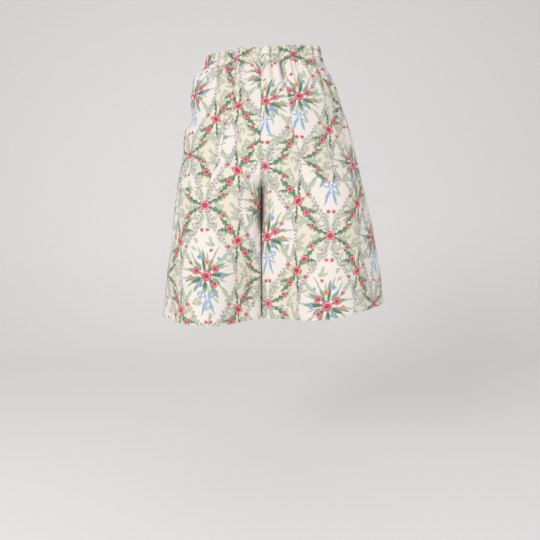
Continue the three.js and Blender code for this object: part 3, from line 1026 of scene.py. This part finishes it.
def ground(spot, x, y):
    """Cream cloth, whiter inside the frames, strewn with thin stray leaves."""
    outside = beyond_ribbon(abs(x), y).clear(0.4)
    paint = ink(spot, "white").over(outside, dye(INK["cream"]))
    for place, size, thin, forked in STRAY_LEAVES:
        stray, chance = strewn(spot, place, size, thin, forked)
        stray = stray.low((chance - 0.78 + outside * 0.68) * 20)
        paint = paint.over(stray.clear(1.2), dye(INK["dull sage"]))
        paint = paint.over((stray - 0.75).clear(1.4) * 0.85, dye(INK["grey sage"]))
    return paint


print("inks:", len(INK))

# %% [markdown]
# ## Leaves of the print
# Soft pale leaves lie behind, then comes the ribbon that makes the frames, and dark toothed leaves
# curl in front of it. Each dark leaf has a darker outline, as a printer's key block would leave.

# %% Leaves of the print
SOFT_LEAVES = (
    ((58, 60), 232, 42, 6),
    ((40, 152), 300, 46, 6),
    ((66, 20), 95, 38, 5.5),
    ((1, 150), -72, 44, 5),
    ((2, 120), -40, 26, 4.5),
)
TOOTHED_LEAVES = (
    ((76, 84), 262, 56, 6.5, -1.4),
    ((70, 94), 165, 42, 6.5, 1.4),
    ((3, 158), -28, 60, 7, -1.5),
)
TEETH = 0.6
OUTLINE = 1.0


def leafwork(paint, folded, wide, x, y):
    """Soft leaves behind, the ribbon frame, and the dark toothed leaves in front."""
    soft = leaf(folded, (70, 88), 128, 52, 7, 0.0, 0.5)[0]
    for place, turn, length, width in SOFT_LEAVES:
        soft = soft.high(leaf(folded, place, turn, length, width)[0])
    paint = paint.over(soft.clear(1.2) * 0.9, dye(INK["grey sage"]))
    paint = paint.over((soft - 2.2).clear(1) * 0.6, dye(INK["pale sage"]))
    back = spray(wide, (0, 4), 17, 22, 42, 2.7, 1.0)
    paint = paint.over(back.clear(1.2) * 0.9, dye(INK["pale sage"]))
    leaves, first, second, buds = garland(abs(x), y)
    paint = paint.over(leaves.clear(1.0), dye(INK["mid sage"]))
    paint = paint.over(first.clear(1.2), dye(INK["lilac"]))
    paint = paint.over(second.clear(1.2), dye(INK["grey blue"]))
    paint = paint.over(buds.clear(1.0), dye(INK["light rose"]))
    paint = paint.over((buds - 1.2).clear(1.0), dye(INK["rose"]))
    scroll, rib = leaf(folded, (76, 77), 128, 72, 8.5, TEETH, 1.5)
    for place, turn, length, width, bend in TOOTHED_LEAVES:
        more, rib_more = leaf(folded, place, turn, length, width, TEETH, bend)
        inputs = {"Factor": more.sum("GREATER_THAN", scroll), 2: rib, 3: rib_more}
        rib = rib.node("ShaderNodeMix", {"data_type": "FLOAT"}, inputs, 0)
        scroll = scroll.high(more)
    green = ink(x, "dark sage").over((rib + 0.02).clear(5) * 0.75, dye(INK["mid sage"]))
    paint = paint.over(scroll.clear(1.2), dye(INK["olive"]))
    paint = paint.over((scroll - OUTLINE).clear(1.2), green)
    bunch = spray(wide, (0, 2), 11, 12, 38, 5.2, 0.4)
    paint = paint.over(bunch.clear(1.2), dye(INK["mid sage"]))
    dark = spray(wide, (0, 0), 7, 8, 28, 4.2, 2.1)
    paint = paint.over(dark.clear(1.2), dye(INK["olive"]))
    return paint.over((dark - 0.9).clear(1.2), dye(INK["dark sage"]))


print("toothed leaves in a quarter of the repeat:", 1 + len(TOOTHED_LEAVES))

# %% [markdown]
# ## Flowers of the print
# Roses, peach buds and small blue flowers make a bunch with a blue bow in each frame, and more roses
# sit where the toothed leaves meet. Each row gives a flower's place, its size and a number that
# turns it and chooses its colour: rose, then peach above 0.6 and blue above 0.83.

# %% Flowers of the print
BUNCH = (
    (0, 0, 14.5, 0.1),
    (-23, 11, 11, 0.35),
    (21, 14, 10.5, 0.22),
    (3, 32, 8, 0.75),
    (-15, -21, 7.5, 0.95),
    (17, -20, 9, 0.48),
    (37, -2, 6, 0.9),
    (-39, -3, 6, 0.7),
    (-14, 43, 6.5, 0.93),
    (30, 38, 5, 0.97),
    (-37, 30, 5.5, 0.3),
    (14, 58, 4.5, 0.15),
)
BETWEEN_FRAMES = (
    (75, 80, 14, 0.3),
    (57, 107, 9.5, 0.15),
    (52, 66, 6, 0.42),
    (0, 160, 12, 0.4),
    (42, 136, 6.5, 0.2),
    (6, 104, 5.5, 0.25),
)


def flowers(paint, wide, tall, folded):
    """The bow, then roses, peach buds and small blue flowers."""
    tail = leaf(tall, (1, -46), -72, 50, 3.2, 0.0, 1.4)[0]
    ring_x, ring_y, _ = tall.placed((12, -43), 24, (12, 6.5)).xyz()
    loop = 0.24 - abs((ring_x * ring_x + ring_y * ring_y) ** 0.5 - 0.78)
    paint = paint.over(tail.high(loop * 8).clear(1.2), dye(INK["blue"]))
    place, reach, kind = nearest_flower(
        [(wide, *flower) for flower in BUNCH] + [(folded, *flower) for flower in BETWEEN_FRAMES]
    )
    px, py, _ = place.xyz()
    angle = py.sum("ARCTAN2", px)
    outline = (angle * 5 + kind * 9).cos() * 0.09 + 0.9
    wound = (reach * 2.1 - angle * (1 / (2 * math.pi)) + kind).part()
    petal = ink(px, "rose").over(wound.fades(0.1, 0.7), dye(INK["light rose"]))
    petal = petal.over((0.42 - reach).clear(6) * 0.8, dye(INK["dark rose"]))
    peach, blue = (kind - 0.6).clear(50), (kind - 0.83).clear(50)
    petal = petal.over(peach * (1 - (0.4 - reach).clear(6) * 0.7), dye(INK["peach"]))
    petal = petal.over(blue * (1 - (0.35 - reach).clear(6)), dye(INK["blue"]))
    rim = (reach - outline + 0.15).clear(7) * (1 - peach) * 0.65
    petal = petal.over(rim, dye(INK["dark rose"]))
    return paint.over(((outline - reach) * 7).clear(1.0), petal)


print("flowers in a frame:", len(BUNCH))

# %% [markdown]
# ## The repeat
# The print repeats every 320 mm down the cloth and every 150 mm across, and each next column is
# moved down by half a repeat, as furnishing prints often are. A little noise bends every line, so
# nothing looks drawn with a ruler.

# %% Repeat
WOBBLE = 7.0


def printed_colour(tree):
    """The colour of the printed cloth at each spot, and the spot's flat place in mm."""
    uv = tree.nodes.new("ShaderNodeUVMap")
    uv.uv_map = "flat cut"
    flat = Term(tree, uv.outputs[0]).vector("MULTIPLY", (1000.0, 1000.0, 0.0))
    drawn = flat.node("ShaderNodeTexNoise", {"noise_dimensions": "2D"}, {"Vector": flat, "Scale": 0.045}, 1)
    spot = flat.vector("ADD", drawn.vector("MULTIPLY", (WOBBLE, WOBBLE, 0.0)))
    u, v, _ = spot.xyz()
    column = (u / REPEAT_ACROSS).round()
    x = u - column * REPEAT_ACROSS
    low = (column * 0.5).part() * REPEAT_DOWN - v
    y = low - (low / REPEAT_DOWN).round() * REPEAT_DOWN
    wide = x.node("ShaderNodeCombineXYZ", inputs={0: x, 1: y})
    tall = x.node("ShaderNodeCombineXYZ", inputs={0: abs(x), 1: y})
    folded = x.node("ShaderNodeCombineXYZ", inputs={0: abs(x), 1: abs(y)})
    paint = ground(spot, x, y)
    paint = leafwork(paint, folded, wide, x, y)
    return flowers(paint, wide, tall, folded), flat


print("the print repeats every", REPEAT_ACROSS, "by", REPEAT_DOWN, "mm")

# %% [markdown]
# ## The cloth itself
# The cloth is a plain-woven furnishing cotton, dull and fairly firm. Its threads cross about 16
# times in a centimetre, which shows only close up, as a fine grain in the light. The print
# soaks in, so the wrong side shows it paler.


# %% Cloth materials
THREAD = 0.62
WEAVE_STRENGTH, WEAVE_DEPTH = 0.35, 0.00006


def cloth_material(name, wrong_side=False):
    material = bpy.data.materials.new(name)
    material.use_nodes = True
    tree = material.node_tree
    surface = tree.nodes["Principled BSDF"]
    colour, flat = printed_colour(tree)
    if wrong_side:
        colour = colour.over(0.7, dye(INK["white"]))
    cloudy = flat.node("ShaderNodeTexNoise", {"noise_dimensions": "2D"}, {"Vector": flat, "Scale": 0.012})
    colour = colour.over((cloudy - 0.5).clear(3) * 0.1, dye("d9cfb4"))
    u, v, _ = flat.xyz()
    warp, weft = (u * (2 * math.pi / THREAD)).sin(), (v * (2 * math.pi / THREAD)).sin()
    fibre = flat.node("ShaderNodeTexNoise", {"noise_dimensions": "2D"}, {"Vector": flat, "Scale": 1.4})
    height = warp * weft * 0.5 + fibre
    relief = {"Height": height, "Strength": WEAVE_STRENGTH, "Distance": WEAVE_DEPTH}
    bump = flat.node("ShaderNodeBump", None, relief)
    rough = 0.8 + fibre * 0.14
    tree.links.new(colour.socket, surface.inputs["Base Color"])
    tree.links.new(rough.socket, surface.inputs["Roughness"])
    tree.links.new(bump.socket, surface.inputs["Normal"])
    surface.inputs["Specular IOR Level"].default_value = 0.25
    surface.inputs["Sheen Weight"].default_value = 0.12
    surface.inputs["Sheen Roughness"].default_value = 0.6
    print(name, "has", len(tree.nodes), "nodes")
    return material


right_side = cloth_material("printed cotton")
wrong_side = cloth_material("printed cotton wrong side", wrong_side=True)
for piece in pieces.values():
    piece.data.materials.append(right_side)
    piece.data.materials.append(wrong_side)

# %% [markdown]
# ## Putting the cloth on the model
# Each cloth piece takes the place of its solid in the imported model, and says how large it was when
# flat. The panels and pockets hang from the casing, and the casing is gathered on its elastic.

# %% Cloth on the model
SIZES = {name: grid["size"] for name, grid in grids.items()} | pocket_sizes | {"waistband": casing_size}
for name, piece in pieces.items():
    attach(piece, "root")
    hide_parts(name)
for name, piece in pieces.items():
    width, length = SIZES[name]
    area = min(area_of(piece), width * length)
    held = "gathered" if name == "waistband" else "hung"
    rests = [] if name == "waistband" else [pieces["waistband"].name]
    print(name, "cut from", round(width, 3), "x", round(length, 3), "m, area", round(area, 4))

# %% [markdown]
# ## Floor and backdrop
# The garment hangs at the height where it is worn, in front of a sheet of pale paper that lies on
# the floor and sweeps up behind it. The bend is wide, so no edge shows where floor meets wall.

# %% Floor and backdrop
FLOOR = -1.133
SWEEP_START, SWEEP_BEND, SWEEP_TOP, SWEEP_HALF = 1.3, 0.7, 4.0, 4.0


def plain_material(name, colour, rough):
    material = bpy.data.materials.new(name)
    material.use_nodes = True
    surface = material.node_tree.nodes["Principled BSDF"]
    surface.inputs["Base Color"].default_value = colour
    surface.inputs["Roughness"].default_value = rough
    return material


bend = [
    (SWEEP_START + SWEEP_BEND * math.sin(a), SWEEP_BEND - SWEEP_BEND * math.cos(a))
    for a in np.linspace(0, math.pi / 2, 16)
]
profile = [(-3.5, 0.0), *bend, (SWEEP_START + SWEEP_BEND, SWEEP_TOP)]
corners = [(x, y, z + FLOOR) for y, z in profile for x in (-SWEEP_HALF, SWEEP_HALF)]
strips = [(2 * k, 2 * k + 1, 2 * k + 3, 2 * k + 2) for k in range(len(profile) - 1)]
paper = bpy.data.meshes.new("paper sweep")
paper.from_pydata(corners, [], strips)
paper.polygons.foreach_set("use_smooth", [True] * len(strips))
paper.materials.append(plain_material("pale paper", dye("fefcfc"), 0.9))
sweep = bpy.data.objects.new("paper sweep", paper)
bpy.context.scene.collection.objects.link(sweep)
print("the floor lies", -FLOOR, "m below the waist")

# %% [markdown]
# ## Lights
# The light is soft and comes mostly from the front. The main lamp stands on the left, well above
# the waist. A smaller one behind the camera reaches into the groove between the legs, and a wide
# weak one on the right lightens the shadows. The room itself gives an even pale light.

# %% Lights
LAMPS = {
    "key light": ((-1.7, -2.0, 0.7), (0, 0, -0.35), 1.0, 27),
    "front light": ((0.05, -2.3, -0.4), (0, 0, -0.4), 0.6, 11),
    "fill light": ((2.0, -1.5, 0.2), (0, 0, -0.35), 1.6, 8),
}
ROOM_LIGHT = 0.47


def softbox(name, place, aim, size, power):
    """A square lamp of that size in metres, turned towards its aim."""
    lamp = bpy.data.lights.new(name, "AREA")
    lamp.size = size
    lamp.energy = power
    holder = bpy.data.objects.new(name, lamp)
    holder.location = place
    way = np.array(aim, float) - np.array(place, float)
    flat_way = math.hypot(way[0], way[1])
    holder.rotation_euler = (math.atan2(flat_way, -way[2]), 0, math.atan2(way[1], way[0]) - math.pi / 2)
    bpy.context.scene.collection.objects.link(holder)


for name, (place, aim, size, power) in LAMPS.items():
    softbox(name, place, aim, size, power)
world = bpy.data.worlds.new("room")
bpy.context.scene.world = world
world.use_nodes = True
sky = world.node_tree.nodes["Background"]
sky.inputs["Color"].default_value = (1.0, 0.985, 0.99, 1.0)
sky.inputs["Strength"].default_value = ROOM_LIGHT
print("lamps:", ", ".join(LAMPS))

# %% [markdown]
# ## Camera
# The camera stands a little over a metre away, nearer the hem than the waist, and looks very
# slightly down.
# From there the hem shows its curve and the waist shows none of its inside. The lens is a wide one,
# so the legs open out towards the hem.

# %% Camera
lens = bpy.data.cameras.new("camera")
lens.lens = 26.93
lens.sensor_width = 36
lens.clip_start = 0.01
camera = bpy.data.objects.new("camera", lens)
camera.location = (0.021, -1.07, -0.553)
camera.rotation_euler = (math.radians(89.15), 0, 0)
bpy.context.scene.collection.objects.link(camera)
bpy.context.scene.camera = camera
bpy.context.scene.view_settings.view_transform = "Standard"
print("camera looks from", tuple(round(v, 3) for v in camera.location))
